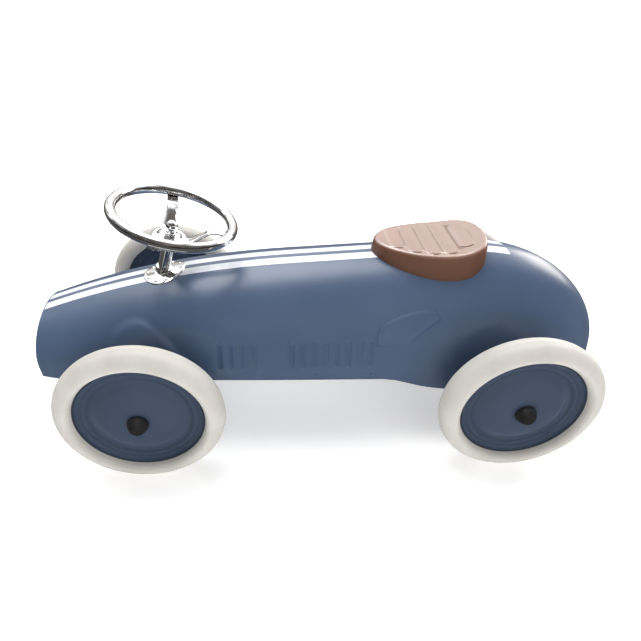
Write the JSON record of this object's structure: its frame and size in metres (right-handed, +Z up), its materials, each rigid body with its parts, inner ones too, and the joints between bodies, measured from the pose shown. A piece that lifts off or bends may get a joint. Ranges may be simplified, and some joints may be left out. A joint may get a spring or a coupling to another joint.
{
  "type": "ride-on toy racing car",
  "caption": "Foot-to-floor ride-on racing car: pressed steel body, chromed steering wheel that turns the front wheels, saddle seat, solid tyres.",
  "frame": {"origin": "on the floor, below the centre of the whole car", "axes": "-X to the nose, -Y to the driver's left, +Z up"},
  "size_m": [0.759, 0.3514, 0.3104],
  "materials": {
    "body_paint": "satin blue-grey enamel with two white stripes",
    "wheel_paint": "satin blue-grey enamel",
    "grille_paint": "dark satin enamel",
    "rivet_paint": "body colour over the rivet heads",
    "tyre_rubber": "smooth cream solid rubber",
    "seat_plastic": "tan moulded soft plastic, fine grain",
    "chrome": "polished chrome plate",
    "bright_steel": "bright drawn steel",
    "zinc_steel": "zinc plated steel",
    "nylon": "natural nylon",
    "cap_plastic": "black moulded plastic"
  },
  "bodies": {
    "chassis": {"body_shell": "body_paint", "nose_grille": "grille_paint", "grille_tabs": "zinc_steel", "front_beam": "zinc_steel", "beam_hangers": "zinc_steel", "beam_bolts": "zinc_steel", "beam_nuts": "zinc_steel", "kingpins": "zinc_steel", "column_flange": "chrome", "column_sleeve": "chrome", "column_collar": "chrome", "column_bushes": "nylon", "flange_rivets": "chrome", "sill_rails": "zinc_steel", "sill_rivets": "rivet_paint", "body_screws": "zinc_steel", "rear_cross_member": "zinc_steel", "rear_axle": "zinc_steel", "rear_axle_spacers": "zinc_steel", "rear_axle_clips": "zinc_steel", "seat": "seat_plastic", "seat_screws": "zinc_steel", "seat_washers": "zinc_steel"},
    "steering": {"steering_rim": "chrome", "steering_spider": "chrome", "spoke_rivets": "chrome", "steering_shaft": "bright_steel", "hub_washer": "chrome", "dome_nut": "chrome", "crank": "zinc_steel", "crank_pin": "zinc_steel"},
    "tie_rod": {"tie_rod": "zinc_steel"},
    "left_knuckle": {"left_knuckle": "zinc_steel", "left_arm_pin": "zinc_steel", "left_stub_clip": "zinc_steel"},
    "right_knuckle": {"right_knuckle": "zinc_steel", "right_arm_pin": "zinc_steel", "right_stub_clip": "zinc_steel"},
    "front_left_wheel": {"front_left_tyre": "tyre_rubber", "front_left_outer_disc": "wheel_paint", "front_left_inner_disc": "wheel_paint", "front_left_bush": "nylon", "front_left_hub_cap": "cap_plastic"},
    "front_right_wheel": {"front_right_tyre": "tyre_rubber", "front_right_outer_disc": "wheel_paint", "front_right_inner_disc": "wheel_paint", "front_right_bush": "nylon", "front_right_hub_cap": "cap_plastic"},
    "rear_left_wheel": {"rear_left_tyre": "tyre_rubber", "rear_left_outer_disc": "wheel_paint", "rear_left_inner_disc": "wheel_paint", "rear_left_bush": "nylon", "rear_left_hub_cap": "cap_plastic"},
    "rear_right_wheel": {"rear_right_tyre": "tyre_rubber", "rear_right_outer_disc": "wheel_paint", "rear_right_inner_disc": "wheel_paint", "rear_right_bush": "nylon", "rear_right_hub_cap": "cap_plastic"}
  },
  "joints": [
    {"name": "steering_turn", "type": "hinge", "parent": "chassis", "child": "steering", "pos_m": [-0.1993, 0, 0.2843], "axis": [0.2672, 0, 0.9636], "range_deg": [-30, 30]},
    {"name": "left_kingpin", "type": "hinge", "parent": "chassis", "child": "left_knuckle", "pos_m": [-0.2363, -0.112, 0.0993], "axis": [0, 0, 1], "range_deg": [-15, 15]},
    {"name": "right_kingpin", "type": "hinge", "parent": "chassis", "child": "right_knuckle", "pos_m": [-0.2363, 0.112, 0.0993], "axis": [0, 0, 1], "range_deg": [-15, 15]},
    {"name": "tie_rod_travel", "type": "slide", "parent": "chassis", "child": "tie_rod", "axis": [0, -1, 0], "range_m": [-0.0091, 0.0091]},
    {"name": "front_left_spin", "type": "hinge", "parent": "left_knuckle", "child": "front_left_wheel", "pos_m": [-0.2363, -0.1465, 0.0993], "axis": [0, 1, 0], "continuous": true},
    {"name": "front_right_spin", "type": "hinge", "parent": "right_knuckle", "child": "front_right_wheel", "pos_m": [-0.2363, 0.1465, 0.0993], "axis": [0, 1, 0], "continuous": true},
    {"name": "rear_left_spin", "type": "hinge", "parent": "chassis", "child": "rear_left_wheel", "pos_m": [0.2187, -0.1465, 0.0993], "axis": [0, 1, 0], "continuous": true},
    {"name": "rear_right_spin", "type": "hinge", "parent": "chassis", "child": "rear_right_wheel", "pos_m": [0.2187, 0.1465, 0.0993], "axis": [0, 1, 0], "continuous": true}
  ],
  "couplings": [
    {"joint": "left_kingpin", "follows": "steering_turn", "ratio": 0.5},
    {"joint": "right_kingpin", "follows": "steering_turn", "ratio": 0.5},
    {"joint": "tie_rod_travel", "follows": "steering_turn", "m_per_rad": 0.017301}
  ]
}
